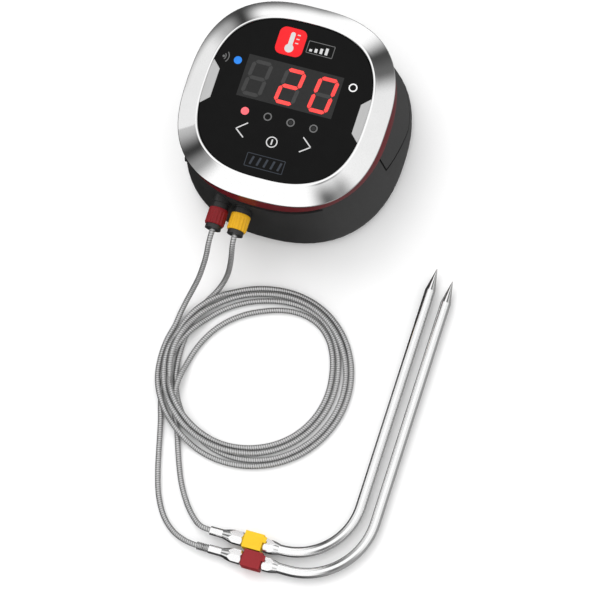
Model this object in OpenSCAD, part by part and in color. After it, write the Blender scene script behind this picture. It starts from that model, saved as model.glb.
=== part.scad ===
// Wireless meat thermometer: a tilting display head on a low base, and two
// L-shaped steel probes whose braided leads are wound into one loose coil.
// Millimetres. Origin at the centre of the base's underside, +Z up,
// +X to the right of the display and -Y towards the reader and the probes.

/* [Body] */
// Half width of the body at its widest, just above the underside
body_half = 35.6; // [35.2:0.1:36]
// Half width of the body where it meets the accent ring
neck_half = 33.2; // [33:0.1:33.4]
// Squareness of the body outline (2 is a circle)
body_n = 2.35; // [2.3:0.05:2.4]
// Height of the top of the body's front part
body_top = 28.6; // [28.4:0.1:28.8]
// Height of the body at its back, under the head
back_z = 8.3; // [8:0.1:8.6]
// Wall thickness of the shells
wall = 1.8; // [1.6:0.1:1.9]

/* [Head] */
// Half width of the bezel
bezel_half = 33.2; // [33:0.1:33.3]
// Squareness of the bezel outline
bezel_n = 2.63; // [2.57:0.01:2.66]
// Half width of the touch panel
panel_half = 26.4; // [26.2:0.1:26.5]
// Squareness of the panel outline
panel_n = 2.69; // [2.6:0.01:2.8]
// Height of the panel's face
panel_z = 36.5; // [36.4:0.1:36.6]

/* [Plugs] */
// Distance from the centre line to the red plug
red_x = -12.8; // [-13:0.1:-12.6]
// Distance from the centre line to the yellow plug
yellow_x = -5.4; // [-5.6:0.1:-5.2]
// Height of the plugs' axes
plug_z = 22; // [21.8:0.1:22.2]
// Diameter of the plug pins
pin_d = 2.5; // [2.4:0.1:2.6]
// Diameter of the coloured collars
collar_d = 6.3; // [6.2:0.1:6.6]

/* [Leads] */
// Diameter of the braided leads
lead_d = 1.8; // [1.6:0.1:1.9]
// Outer radius of the wound leads
coil_r = 31.2; // [31:0.1:31.4]
// Inner radius of the wound leads
coil_inner_r = 19.4; // [19:0.1:20]

/* [Probes] */
// Diameter of the probe shafts
shaft_d = 3.3; // [3:0.1:3.4]
// Radius of the yellow probe's bend
yellow_bend_r = 20; // [18:0.5:20]
// Radius of the red probe's bend
red_bend_r = 22; // [20:0.5:23]
// Width of the crimped handles over their widest part
handle_w = 4.2; // [4:0.1:4.3]

/* [Hidden] */
$fn = 48;

OUTLINE_STEPS = 72;
FAR = 60;                                   // further than the body reaches

// heights in the body, from the floor up
pad_t = 0.8;
pad_half = 31;
pad_opening = 24;
plate_top = 2.6;
plate_half = body_half - 3;
widest_z = 5;
board_z = 17.2;
board_t = 1.2;

// screws: four through the floor, small ones in the head and the cover
boss_r = 3.2;
floor_screw_r = 1;
screw_head_r = 2.1;
screw_head_t = 0.9;
small_screw_r = 0.8;
cover_screw_at = [24, 8];

magnet_r = 5;
magnet_t = 2.4;

// the parting between base and head, seen from the side
step_y = -8.2;
step_z = 17.8;
slope_y = 10;
part_gap = 0.6;
ring_z = body_top + 0.8;

// hinge of the head, across the front of the body
hinge_y = -30.5;
hinge_z = 27.8;
pin_r = 0.8;
knuckle_r = 1.5;
hinge_play = 0.06;
head_knuckles = [1.8, 5.3];                 // from and to, on each side of the middle
base_knuckles = [5.6, 8.8];
knuckle_root = 2;                           // depth of the blocks that carry the knuckles
front_top = 26.3;                           // top of the body's front edge under the head
front_ledge = 1.9;                          // reach of that edge behind the hinge line

// the head from the ring up
bezel_z = 33.2;
collar_half = 29.4;
collar_wall = 2;
skirt_z = 28.75;                            // lower edge of the accent ring's thin skirt
skirt_half = 33.6;
skirt_inner = 32.6;
bezel_top = panel_z + 0.6;
head_board_z = 31.3;
head_board_t = 1;
seal_outer = 30.2;
seal_inner = 28.4;
seal_t = 1;
panel_t = 1.6;
film_t = 0.3;

// battery cells lie along X in the head
cell_r = 7.1;
cell_len = 50;
cell_one = [1.7, 24.1];
cell_two = [14.8, 18];
cell_gap = 1.6;                             // room for the spring at one end
cell_nib = 1.6;                             // height of the positive cap
cell_nib_r = 2.8;
contact_t = 0.4;
contact_w = 6;

// jacks and plugs
jack_r = 3;
jack_len = 12;
jack_mouth_y = -33.9;
bore_r = pin_d / 2 + 0.05;
side_jacks = [[-31.6, -13], [-28.4, -20.2]];
collar_y = -35.75;
collar_len = 5.4;
cap_y = collar_y - collar_len - 0.1;
cap_len = 1.25;
cap_r = 2.6;
body_r = 2.85;                              // plug body ahead of its collar
neck_r = 2.35;                              // plug body under its collar
collar_bore_r = 2.42;
flute_r = 0.32;
flutes = 16;
pin_tip_y = -24.6;

// probes: the crimped handle runs along X and the shaft along Y
probe_z = 2.6;
ferrule_len = 4.2;
handle_len = 18.6;
shaft_seat = 3;                             // the shaft's depth in the handle
red_probe = [14, -137.8, 62];               // ferrule's start in X, handle's Y, shaft's X
yellow_probe = [12.6, -132, 56];
red_tip_y = -33.7;
yellow_tip_y = -31;
tip_len = 7.4;
ferrule_r = 1.4;
clip_len = 6.1;
clip_w = 5.4;
clip_drop = 2.35;                           // the clip's legs reach this far below the axis
clip_h = 4.95;
lug = [1, 1.9, 0.45];                       // small tongue at the clip's end

// leads: the wound part, and the routes before and after it
coil_at = [10, -80.5, 0];
coil_h = 3.9;
LEAD_SIDES = 8;
red_in_route = [
    [-12.8, -42, 22], [-12.8, -44, 22], [-12.9, -47, 20.8], [-13.1, -50, 18], [-13.8, -53, 14.5],
    [-14.9, -56, 10.6], [-16.3, -59, 7.2], [-17.8, -62.5, 4.2], [-19, -66.5, 2], [-19.6, -70.5, 1.1]
];
yellow_in_route = [
    [-5.4, -42, 22], [-5.4, -44, 21.8], [-5.4, -46.2, 20], [-5.5, -48.1, 16.9],
    [-6, -49.7, 12.8], [-6.8, -51.3, 8.4], [-8, -53.1, 4.6], [-9.3, -55.1, 2.2],
    [-10.5, -57.2, 1.2], [-11.8, -59.3, 0.9]
];
red_out_route = [
    [-16.2, -96.2, 1], [-14.6, -101, 0.95], [-13.2, -106, 0.9], [-11.8, -111.4, 0.9],
    [-10, -117.8, 0.9], [-7.4, -125, 0.9], [-3.8, -131, 1], [0.6, -135, 1.5], [5, -137, 2.1],
    [9.5, -137.8, 2.6], [14.6, -137.8, 2.6]
];
yellow_out_route = [
    [-9, -101.8, 1], [-7.6, -105.2, 0.95], [-4.8, -112.4, 0.9], [-1.6, -119.4, 0.9],
    [2, -125, 1.1], [5.6, -129, 1.8], [9, -131.4, 2.5], [13.2, -132, 2.6]
];

// ---- helpers ----

// rounded-square outline: the same curve as a circle when n is 2
function outline(half, n) = [
    for (i = [0 : OUTLINE_STEPS - 1])
        let (a = 360 * i / OUTLINE_STEPS,
             r = half / pow(pow(abs(cos(a)), n) + pow(abs(sin(a)), n), 1 / n))
        [r * cos(a), r * sin(a)]
];

module prism(half, n, z0, z1) {
    translate([0, 0, z0]) linear_extrude(z1 - z0) polygon(outline(half, n));
}

// closed solid through a stack of outlines; each ring is [half, height]
module loft(rings, n) {
    m = OUTLINE_STEPS;
    points = [for (ring = rings) for (p = outline(ring[0], n)) [p[0], p[1], ring[1]]];
    sides = [
        for (k = [0 : len(rings) - 2]) for (i = [0 : m - 1])
            let (a = k * m + i, b = k * m + (i + 1) % m)
            [a, a + m, b + m, b]
    ];
    bottom = [for (i = [0 : m - 1]) i];
    top = [for (i = [m - 1 : -1 : 0]) (len(rings) - 1) * m + i];
    polyhedron(points, concat([bottom], sides, [top]));
}

// closed ring whose cross-section is a loop of [half, height, squareness] points,
// listed outer side upwards first
module ring_loft(section) {
    m = OUTLINE_STEPS;
    points = [for (q = section) for (p = outline(q[0], q[2])) [p[0], p[1], q[1]]];
    polyhedron(points, [
        for (k = [0 : len(section) - 1]) for (i = [0 : m - 1])
            let (c = (k + 1) % len(section), j = (i + 1) % m)
            [k * m + i, c * m + i, c * m + j, k * m + j]
    ]);
}

// a side profile of [y, z] points, extruded across the body
module across(points, half_width = FAR) {
    translate([-half_width, 0, 0]) rotate([90, 0, 90])
        linear_extrude(2 * half_width) polygon(points);
}

module along_x(x0, x1, r) {
    translate([x0, 0, 0]) rotate([0, 90, 0]) cylinder(h = x1 - x0, r = r);
}

module along_minus_y(y0, length, r) {
    translate([0, y0, 0]) rotate([90, 0, 0]) cylinder(h = length, r = r);
}

function unit(v) = v / norm(v);
function route_dir(p, i) =
    i == 0 ? unit(p[1] - p[0])
    : i == len(p) - 1 ? unit(p[i] - p[i - 1])
    : unit(unit(p[i + 1] - p[i]) + unit(p[i] - p[i - 1]));

// round tube swept along a route
module tube(route, r) {
    m = LEAD_SIDES;
    points = [
        for (i = [0 : len(route) - 1])
            let (d = route_dir(route, i), side = unit(cross(d, [0, 0, 1])), up = cross(side, d))
            for (k = [0 : m - 1])
                let (a = 360 * (k + 0.5) / m)
                route[i] + r * (cos(a) * side + sin(a) * up)
    ];
    sides = [
        for (i = [0 : len(route) - 2]) for (k = [0 : m - 1])
            let (a = i * m + k, b = i * m + (k + 1) % m)
            [a, a + m, b + m, b]
    ];
    first = [for (k = [0 : m - 1]) k];
    last = [for (k = [m - 1 : -1 : 0]) (len(route) - 1) * m + k];
    polyhedron(points, concat([first], sides, [last]));
}

// ---- the body's outer and inner form ----

module body_form(inset = 0) {
    loft([
        [body_half - 1.6 - inset, pad_t - 0.2],
        [body_half - 0.3 - inset, 2.4],
        [body_half - inset, widest_z],
        [neck_half - inset, ring_z]
    ], body_n);
}

module below_parting(drop = 0, back = 0) {
    y = step_y - part_gap / 2 - back;
    across([
        [-FAR, body_top - drop], [y, body_top - drop], [y, step_z - drop],
        [slope_y - back / 3, back_z - drop], [FAR, back_z - drop], [FAR, -FAR], [-FAR, -FAR]
    ]);
}

// the space of the head; its front edge starts at the height front_z
module above_parting(lift = 0, ahead = 0, front_z = ring_z) {
    y = step_y + part_gap / 2 + ahead;
    floor_points = [
        [y, step_z + part_gap + lift], [slope_y + ahead / 3, back_z + part_gap + lift],
        [FAR, back_z + part_gap + lift], [FAR, FAR]
    ];
    across(front_z < FAR ? concat([[-FAR, front_z + lift], [y, front_z + lift]],
                                  floor_points, [[-FAR, FAR]])
                         : concat(floor_points, [[y, FAR]]));
}

module knuckles(span) {
    for (s = [-1, 1])
        translate([0, hinge_y, hinge_z])
            along_x(s > 0 ? span[0] : -span[1], s > 0 ? span[1] : -span[0], knuckle_r);
}

// one block on each side of the middle
module both_sides(span, y, z, depth, height) {
    for (s = [-1, 1]) translate([s > 0 ? span[0] : -span[1], y, z])
        cube([span[1] - span[0], depth, height]);
}

// ---- base ----

module foot_pad() {
    color([0.08, 0.08, 0.08]) difference() {
        prism(pad_half, body_n, 0, pad_t);
        prism(pad_opening, body_n, 0.4, pad_t + 1);
    }
}

boss_places = [[-10, -29.5, 14], [10, -29.5, 14], [-22, 19, 7], [22, 19, 7]];
post_places = [[-12, -14], [14, -14], [2, -24.4]];

module bottom_plate() {
    color([0.12, 0.12, 0.12]) difference() {
        union() {
            prism(plate_half, body_n, pad_t, plate_top);
            for (p = post_places)
                translate([p[0], p[1], plate_top]) cylinder(h = board_z - plate_top, r = 1.6);
        }
        for (p = boss_places) translate([p[0], p[1], 0]) {
            cylinder(h = FAR / 2, r = floor_screw_r + 0.25);
            cylinder(h = pad_t + 0.3 + screw_head_t, r = screw_head_r + 0.1);
        }
        prism(pad_opening + 0.2, body_n, 0, pad_t + 0.3);
    }
}

module base_shell() {
    color([0.1, 0.1, 0.11]) difference() {
        union() {
            difference() {
                intersection() {
                    body_form();
                    below_parting();
                }
                intersection() {
                    body_form(wall);
                    below_parting(wall, wall);
                }
                prism(plate_half, body_n, 0, plate_top);
                translate([-FAR / 2, -FAR, front_top]) cube([FAR, FAR + hinge_y + front_ledge, FAR]);
                translate([0, hinge_y, hinge_z])
                    along_x(-head_knuckles[1] - 0.2, head_knuckles[1] + 0.2, knuckle_r + 0.35);
            }
            knuckles(base_knuckles);
            both_sides(base_knuckles, hinge_y - knuckle_r, front_top - knuckle_root,
                       2 * knuckle_r, hinge_z - front_top + knuckle_root);
            for (p = boss_places) translate([p[0], p[1], plate_top])
                cylinder(h = p[2] - plate_top, r = boss_r);
        }
        translate([0, hinge_y, hinge_z]) along_x(-10, 10, pin_r);
        for (x = [red_x, yellow_x]) translate([x, 0, plug_z]) along_minus_y(-20, 20, jack_r);
        for (p = side_jacks) translate([0, p[1], plug_z]) along_x(-FAR, p[0] + jack_len, jack_r);
        for (p = boss_places) translate([p[0], p[1], 0])
            cylinder(h = plate_top + 4, r = floor_screw_r);
    }
}

module base_screws() {
    color("silver") for (p = boss_places) translate([p[0], p[1], 0]) {
        translate([0, 0, pad_t + 0.3]) {
            cylinder(h = screw_head_t, r = screw_head_r);
            cylinder(h = 5.1, r = floor_screw_r);
        }
    }
}

module base_magnets() {
    color([0.6, 0.6, 0.62]) for (x = [-17, 17]) for (y = [-2, 12])
        translate([x, y, plate_top]) cylinder(h = magnet_t, r = magnet_r);
}

module probe_board() {
    color([0.05, 0.3, 0.15]) difference() {
        union() {
            translate([-17, -26, board_z]) cube([34, 15.2, board_t]);
            translate([-28, -18.2, board_z]) cube([12, 7.4, board_t]);
        }
        for (x = [-14, 12]) translate([x, -20, 0]) cylinder(h = FAR, r = 1);
    }
}

module buzzer() {
    color([0.1, 0.1, 0.1]) translate([10, -18, board_z + board_t]) difference() {
        cylinder(h = 4, r = 5);
        translate([0, 0, 3]) cylinder(h = 2, r = 1);
    }
}

module radio_module() {
    color([0.7, 0.7, 0.7]) translate([-8, -20.6, board_z + board_t]) {
        cube([11, 9, 0.8]);
        translate([0.6, 2.6, 0.8]) cube([9.8, 5.8, 1.4]);
    }
}

module flex_cable() {
    color([0.7, 0.45, 0.1]) translate([9.5, -26, board_z + board_t]) {
        cube([7, 0.25, 7.6]);
        translate([0, 0.25, 0]) cube([7, 2, 1.2]);
    }
}

// jack body with its mouth at the origin, opening towards -Y
module jack() {
    color([0.12, 0.12, 0.12]) difference() {
        translate([0, jack_len, 0]) along_minus_y(0, jack_len, jack_r);
        translate([0, jack_len - 1.5, 0]) along_minus_y(0, jack_len, bore_r);
    }
}

module jack_red() { translate([red_x, jack_mouth_y, plug_z]) jack(); }
module jack_yellow() { translate([yellow_x, jack_mouth_y, plug_z]) jack(); }
module jack_three() { translate([side_jacks[0][0], side_jacks[0][1], plug_z]) rotate([0, 0, -90]) jack(); }
module jack_four() { translate([side_jacks[1][0], side_jacks[1][1], plug_z]) rotate([0, 0, -90]) jack(); }

module hinge_pin() {
    color("silver") translate([0, hinge_y, hinge_z]) along_x(-base_knuckles[1], base_knuckles[1], pin_r);
}

// ---- head ----

// the opening for the battery cover, in the floor of the head
cover_box = [-27.2, -4.6, 0, 54.4, 23.6, 16.6];

module cover_space(gap) {
    translate([cover_box[0] + gap, cover_box[1] + gap, cover_box[2]])
        cube([cover_box[3] - 2 * gap, cover_box[4] - 2 * gap, cover_box[5] - gap]);
}

corner_screws = [for (a = [45 : 90 : 315]) 30.9 * [cos(a), sin(a)]];

module upper_shell() {
    color([0.1, 0.1, 0.11]) difference() {
        union() {
            intersection() {
                body_form();
                above_parting(front_z = FAR);
            }
            intersection() {
                prism(collar_half, bezel_n, 0, bezel_z);
                above_parting();
            }
            knuckles(head_knuckles);
            both_sides(head_knuckles, hinge_y - knuckle_r, hinge_z,
                       2 * knuckle_r, ring_z - hinge_z);
            both_sides(head_knuckles, 0.2 - collar_half, skirt_z, wall, 1);
        }
        intersection() {
            prism(neck_half - wall - 0.4, body_n, 0, ring_z - wall);
            above_parting(wall, wall);
        }
        intersection() {
            prism(collar_half - collar_wall, bezel_n, 0, FAR);
            above_parting(wall, wall);
        }
        translate([0, hinge_y, hinge_z]) along_x(-6, 6, pin_r + hinge_play);
        difference() {
            prism(FAR, body_n, skirt_z - 0.1, ring_z);
            prism(skirt_inner - 0.1, bezel_n, 0, FAR);
        }
        cover_space(0);
        for (p = corner_screws) translate([p[0], p[1], ring_z])
            cylinder(h = FAR, r = small_screw_r);
    }
}

module battery_cover() {
    color([0.1, 0.1, 0.11]) difference() {
        intersection() {
            cover_space(0.2);
            difference() {
                above_parting();
                above_parting(wall, wall);
            }
        }
        for (s = [-1, 1]) translate([s * cover_screw_at[0], cover_screw_at[1], 0])
            cylinder(h = FAR, r = small_screw_r);
    }
}

module cover_screws() {
    color("silver") for (s = [-1, 1])
        translate([s * cover_screw_at[0], cover_screw_at[1], back_z + part_gap + 1.05])
            cylinder(h = 3, r = small_screw_r);
}

module cells(r, extra) {
    for (c = [cell_one, cell_two])
        translate([0, c[0], c[1]]) along_x(-cell_len / 2 - extra, cell_len / 2 + extra, r);
}

module battery_tray() {
    color([0.13, 0.13, 0.13]) difference() {
        intersection() {
            translate([-26, 3, 18]) cube([52, 18.5, 13]);
            prism(collar_half - collar_wall - 0.3, bezel_n, 0, FAR);
        }
        cells(cell_r + 0.1, 2);
    }
}

// can and positive cap of one cell, along X and pressed against one contact
module cell(dir) {
    rotate([0, 0, dir > 0 ? 0 : 180]) translate([cell_gap / 2, 0, 0]) {
        along_x(-cell_len / 2, cell_len / 2 - cell_nib, cell_r);
        along_x(cell_len / 2 - cell_nib, cell_len / 2, cell_nib_r);
    }
}

module battery_one() { color([0.2, 0.2, 0.22]) translate([0, cell_one[0], cell_one[1]]) cell(1); }
module battery_two() { color([0.2, 0.2, 0.22]) translate([0, cell_two[0], cell_two[1]]) cell(-1); }

module battery_springs() {
    color("silver") for (c = [[cell_one, -1], [cell_two, 1]])
        translate([c[1] * (cell_len - cell_gap) / 2, c[0][0], c[0][1]]) rotate([0, c[1] * 90, 0])
            for (k = [0 : 2]) translate([0, 0, 0.3 + 0.5 * k])
                rotate_extrude() translate([2 + 0.3 * k, 0]) circle(r = 0.3);
}

module battery_contacts() {
    x = (cell_len + cell_gap) / 2;
    color("silver") for (s = [-1, 1]) for (c = [cell_one, cell_two])
        translate([s > 0 ? x : -x - contact_t, c[0] - contact_w / 2, c[1] - contact_w / 2])
            cube([contact_t, contact_w, contact_w]);
}

module accent_ring() {
    color([0.45, 0.08, 0.1]) ring_loft([
        [skirt_half, skirt_z, bezel_n], [bezel_half - 0.2, bezel_z, bezel_n],
        [collar_half, bezel_z, bezel_n], [collar_half, ring_z, bezel_n],
        [skirt_inner, ring_z, bezel_n], [skirt_inner, skirt_z, bezel_n]
    ]);
}

module head_seal() {
    color([0.1, 0.1, 0.1]) difference() {
        prism(seal_outer, bezel_n, bezel_z, bezel_z + seal_t);
        prism(seal_inner, bezel_n, 0, FAR);
        for (p = corner_screws) translate([p[0], p[1], 0])
            cylinder(h = FAR, r = small_screw_r);
    }
}

module head_screws() {
    color("silver") for (p = corner_screws) translate([p[0], p[1], ring_z])
        cylinder(h = 5.6, r = small_screw_r);
}

module tab_outline(grow) {
    for (s = [-1, 1]) scale([s, 1])
        polygon([[28, -8.2 - grow], [23.5 - grow, -4.95 - grow], [23.5 - grow, 4.95 + grow],
                 [28, 8.2 + grow]]);
}

module bezel_ring() {
    color([0.85, 0.86, 0.87]) {
        ring_loft([
            [bezel_half - 0.1, bezel_z, bezel_n], [bezel_half, bezel_z + 0.9, bezel_n],
            [27.8, bezel_top - 0.3, bezel_n], [27.2, bezel_top, bezel_n],
            [panel_half + 0.3, bezel_top, panel_n], [panel_half + 0.05, panel_z, panel_n],
            [panel_half + 0.05, panel_z - 1.8, panel_n], [seal_inner, bezel_z + seal_t, bezel_n],
            [seal_outer, bezel_z + seal_t, bezel_n], [seal_outer, bezel_z, bezel_n]
        ]);
        intersection() {
            translate([0, 0, panel_z - panel_t]) linear_extrude(panel_t + 0.1) tab_outline(0);
            prism(panel_half + 0.6, panel_n, 0, FAR);
        }
    }
}

module display_board() {
    color([0.05, 0.25, 0.12]) prism(26.6, bezel_n, head_board_z, head_board_z + head_board_t);
}

module led_display() {
    color([0.2, 0.2, 0.2]) difference() {
        translate([-15.8, -2.1, head_board_z + head_board_t]) cube([31.6, 14.2, 2.2]);
        for (k = [-1 : 1]) for (y = [1.6, 7.4])
            translate([11 * k - 2.2, y, head_board_z + 2.8]) cube([4.4, 3.8, 1]);
    }
}

led_places = [
    [-11.4, -6.5], [-3.8, -6.5], [3.8, -6.5], [11.4, -6.5], [-18.8, 9.1], [19.4, 9.7]
];

module status_leds() {
    color([0.9, 0.3, 0.3]) for (p = led_places)
        translate([p[0] - 0.8, p[1] - 0.6, head_board_z + head_board_t]) cube([1.6, 1.2, 0.8]);
}

module light_guide() {
    color([0.85, 0.85, 0.85]) difference() {
        prism(25.6, bezel_n, head_board_z + 1.8, panel_z - panel_t - film_t);
        translate([-16, -2.3, 0]) cube([32, 14.6, FAR]);
        for (p = led_places) translate([p[0], p[1], 0]) cylinder(h = FAR, r = 1.4);
    }
}

module touch_film() {
    color([0.4, 0.4, 0.35]) difference() {
        prism(25.8, panel_n, panel_z - panel_t - film_t, panel_z - panel_t);
        linear_extrude(FAR) tab_outline(0.1);
    }
}

module touch_panel() {
    color([0.05, 0.05, 0.05]) difference() {
        prism(panel_half, panel_n, panel_z - panel_t, panel_z);
        linear_extrude(FAR) tab_outline(0.05);
    }
}

// ---- plugs ----

module plug_pin(x) {
    color("silver") translate([x, 0, plug_z]) {
        along_minus_y(pin_tip_y, pin_tip_y - jack_mouth_y + 0.1, pin_d / 2);
        translate([0, pin_tip_y, 0]) rotate([-90, 0, 0])
            rotate_extrude() polygon([[0, 0], [pin_d / 2, 0], [0.5, 1], [0, 1]]);
    }
}

module plug_body(x) {
    color([0.12, 0.12, 0.12]) translate([x, 0, plug_z]) difference() {
        union() {
            along_minus_y(jack_mouth_y - 0.1, jack_mouth_y - 0.1 - collar_y - 0.05, body_r);
            along_minus_y(jack_mouth_y - 0.1, jack_mouth_y - 0.1 - cap_y, neck_r);
        }
        along_minus_y(cap_y + 3, 5, lead_d / 2);
    }
}

module collar(x, tint) {
    color(tint) translate([x, 0, plug_z]) difference() {
        along_minus_y(collar_y, collar_len, collar_d / 2);
        along_minus_y(collar_y + 1, collar_len + 2, collar_bore_r);
        for (k = [0 : flutes - 1]) rotate([0, 360 / flutes * k, 0])
            translate([0, 0, collar_d / 2 + 0.12])
                along_minus_y(collar_y + 1, collar_len + 2, flute_r);
    }
}

module plug_cap(x) {
    color([0.12, 0.12, 0.12]) translate([x, 0, plug_z]) difference() {
        along_minus_y(cap_y, cap_len, cap_r);
        along_minus_y(cap_y + 1, cap_len + 2, lead_d / 2);
    }
}

module plug_pin_red() { plug_pin(red_x); }
module plug_pin_yellow() { plug_pin(yellow_x); }
module plug_body_red() { plug_body(red_x); }
module plug_body_yellow() { plug_body(yellow_x); }
module collar_red() { collar(red_x, [0.55, 0.1, 0.13]); }
module collar_yellow() { collar(yellow_x, [0.9, 0.7, 0.12]); }
module plug_cap_red() { plug_cap(red_x); }
module plug_cap_yellow() { plug_cap(yellow_x); }

// ---- leads ----

module lead(route) { color([0.6, 0.6, 0.6]) tube(route, lead_d / 2); }
module lead_red_in() { lead(red_in_route); }
module lead_red_out() { lead(red_out_route); }
module lead_yellow_in() { lead(yellow_in_route); }
module lead_yellow_out() { lead(yellow_out_route); }

module cord_coil() {
    width = coil_r - coil_inner_r;
    color([0.6, 0.6, 0.6]) translate(coil_at) rotate_extrude($fn = 96) intersection() {
        translate([coil_inner_r, 0]) square([width, coil_h]);
        translate([(coil_r + coil_inner_r) / 2, coil_h / 2]) union() {
            square([width - coil_h, coil_h], center = true);
            for (s = [-1, 1]) translate([s * (width - coil_h) / 2, 0]) circle(d = coil_h);
        }
    }
}

module kink_spring() {
    color("silver") translate([10.2, red_probe[1], probe_z]) rotate([0, 90, 0])
        for (k = [0 : 7]) translate([0, 0, 0.5 * k])
            rotate_extrude() translate([lead_d / 2 + 0.2, 0]) circle(r = 0.28);
}

// ---- probes; p is [ferrule start x, handle y, shaft x] ----

module ferrule(p) {
    color([0.8, 0.8, 0.82]) translate([0, p[1], probe_z]) difference() {
        along_x(p[0], p[0] + ferrule_len, ferrule_r);
        along_x(p[0] - 1, p[0] + 2, lead_d / 2);
    }
}

// six-sided crimped body that swells from the ferrule and narrows to the shaft
module handle(p) {
    w = handle_w / 2;
    corner = 0.98 * w / cos(30);
    color([0.82, 0.82, 0.84]) translate([p[0] + ferrule_len, p[1], probe_z]) rotate([0, 90, 0])
        difference() {
            intersection() {
                rotate_extrude() polygon([
                    [0, 0], [1.45, 0], [corner, 4.4], [corner, 6.2], [w - 0.4, 7],
                    [w - 0.4, 13.4], [corner, 14.2], [corner, 15], [1.75, handle_len],
                    [0, handle_len]
                ]);
                rotate([0, 0, 90]) cylinder(h = handle_len, r = corner, $fn = 6);
            }
            translate([0, 0, handle_len - shaft_seat]) cylinder(h = shaft_seat + 1, r = shaft_d / 2);
        }
}

module clip(p, tint) {
    w = handle_w / 2 - 0.4;
    x = p[0] + ferrule_len + 7.2;
    color(tint) translate([x, p[1], probe_z]) difference() {
        union() {
            translate([0, -clip_w / 2, -clip_drop]) cube([clip_len, clip_w, clip_h]);
            translate([clip_len - 0.1, clip_w / 2 - 2.5, clip_h - clip_drop - lug[2]])
                cube([lug[0] + 0.1, lug[1], lug[2]]);
        }
        translate([-1, 0, 0]) {
            along_x(0, clip_len + 2, w + 0.15);
            translate([0, -w - 0.15, -FAR]) cube([clip_len + 2, 2 * w + 0.3, FAR]);
        }
        for (s = [-1, 1]) translate([clip_len / 2, s * clip_w / 2, -clip_drop])
            rotate([s * 45, 0, 0]) cube([clip_len + 1, 1.2, 1.2], center = true);
    }
}

module shaft(p, bend_r, tip_y) {
    x0 = p[0] + ferrule_len + handle_len - shaft_seat;
    bx = p[2] - bend_r;
    by = p[1] + bend_r;
    color([0.85, 0.85, 0.87]) difference() {
        union() {
            translate([0, p[1], probe_z]) along_x(x0, bx, shaft_d / 2);
            translate([bx, by, probe_z]) rotate([0, 0, -90])
                rotate_extrude(angle = 90) translate([bend_r, 0]) circle(d = shaft_d);
            translate([p[2], tip_y - tip_len, probe_z]) rotate([90, 0, 0])
                cylinder(h = tip_y - tip_len - by, r = shaft_d / 2);
        }
        translate([p[2], tip_y, probe_z]) along_minus_y(0, 20, shaft_d / 2 - 0.4);
    }
}

module tip(p, tip_y) {
    color([0.85, 0.85, 0.87]) translate([p[2], tip_y - tip_len, probe_z]) rotate([-90, 0, 0])
        rotate_extrude() polygon([[0, 0], [shaft_d / 2, 0], [0.12, tip_len - 0.1], [0, tip_len]]);
}

module sensor(p, tip_y) {
    color([0.15, 0.15, 0.15]) translate([p[2], tip_y - tip_len - 0.2, probe_z])
        along_minus_y(0, 8, 0.8);
}

module ferrule_red() { ferrule(red_probe); }
module ferrule_yellow() { ferrule(yellow_probe); }
module handle_red() { handle(red_probe); }
module handle_yellow() { handle(yellow_probe); }
module clip_red() { clip(red_probe, [0.6, 0.13, 0.15]); }
module clip_yellow() { clip(yellow_probe, [0.95, 0.75, 0.15]); }
module shaft_red() { shaft(red_probe, red_bend_r, red_tip_y); }
module shaft_yellow() { shaft(yellow_probe, yellow_bend_r, yellow_tip_y); }
module tip_red() { tip(red_probe, red_tip_y); }
module tip_yellow() { tip(yellow_probe, yellow_tip_y); }
module sensor_red() { sensor(red_probe, red_tip_y); }
module sensor_yellow() { sensor(yellow_probe, yellow_tip_y); }

foot_pad();
bottom_plate();
base_shell();
base_screws();
base_magnets();
probe_board();
buzzer();
radio_module();
flex_cable();
jack_red();
jack_yellow();
jack_three();
jack_four();
hinge_pin();
upper_shell();
battery_cover();
cover_screws();
battery_tray();
battery_one();
battery_two();
battery_springs();
battery_contacts();
accent_ring();
head_seal();
head_screws();
bezel_ring();
display_board();
led_display();
status_leds();
light_guide();
touch_film();
touch_panel();
plug_pin_red();
plug_body_red();
collar_red();
plug_cap_red();
plug_pin_yellow();
plug_body_yellow();
collar_yellow();
plug_cap_yellow();
lead_red_in();
lead_red_out();
lead_yellow_in();
lead_yellow_out();
cord_coil();
kink_spring();
ferrule_red();
ferrule_yellow();
handle_red();
handle_yellow();
clip_red();
clip_yellow();
shaft_red();
shaft_yellow();
tip_red();
tip_yellow();
sensor_red();
sensor_yellow();
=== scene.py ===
"""Meat thermometer with a tilting display head, two plugs and two probes on braided leads.

Lengths are millimetres in the model's own frame unless a comment says otherwise; add_piece
turns them into metres.
"""
import math

import bpy
import numpy as np
from mathutils import Matrix, Vector


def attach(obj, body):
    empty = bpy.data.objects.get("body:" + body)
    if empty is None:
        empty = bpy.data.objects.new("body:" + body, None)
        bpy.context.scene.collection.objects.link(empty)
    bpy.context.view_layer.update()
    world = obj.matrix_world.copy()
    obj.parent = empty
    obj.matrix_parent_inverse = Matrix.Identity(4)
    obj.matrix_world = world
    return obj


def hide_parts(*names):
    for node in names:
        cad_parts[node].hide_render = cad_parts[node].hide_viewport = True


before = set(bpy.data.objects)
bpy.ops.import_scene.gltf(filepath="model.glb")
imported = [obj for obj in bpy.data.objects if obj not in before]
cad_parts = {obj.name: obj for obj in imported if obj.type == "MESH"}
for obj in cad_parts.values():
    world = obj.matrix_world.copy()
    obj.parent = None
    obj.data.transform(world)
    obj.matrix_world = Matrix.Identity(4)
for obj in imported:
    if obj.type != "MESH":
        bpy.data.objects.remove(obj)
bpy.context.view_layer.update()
MM = 0.001
FULL = 2 * math.pi
AROUND = 240                    # points around a large outline


# ---------------------------------------------------------------- camera

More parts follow.
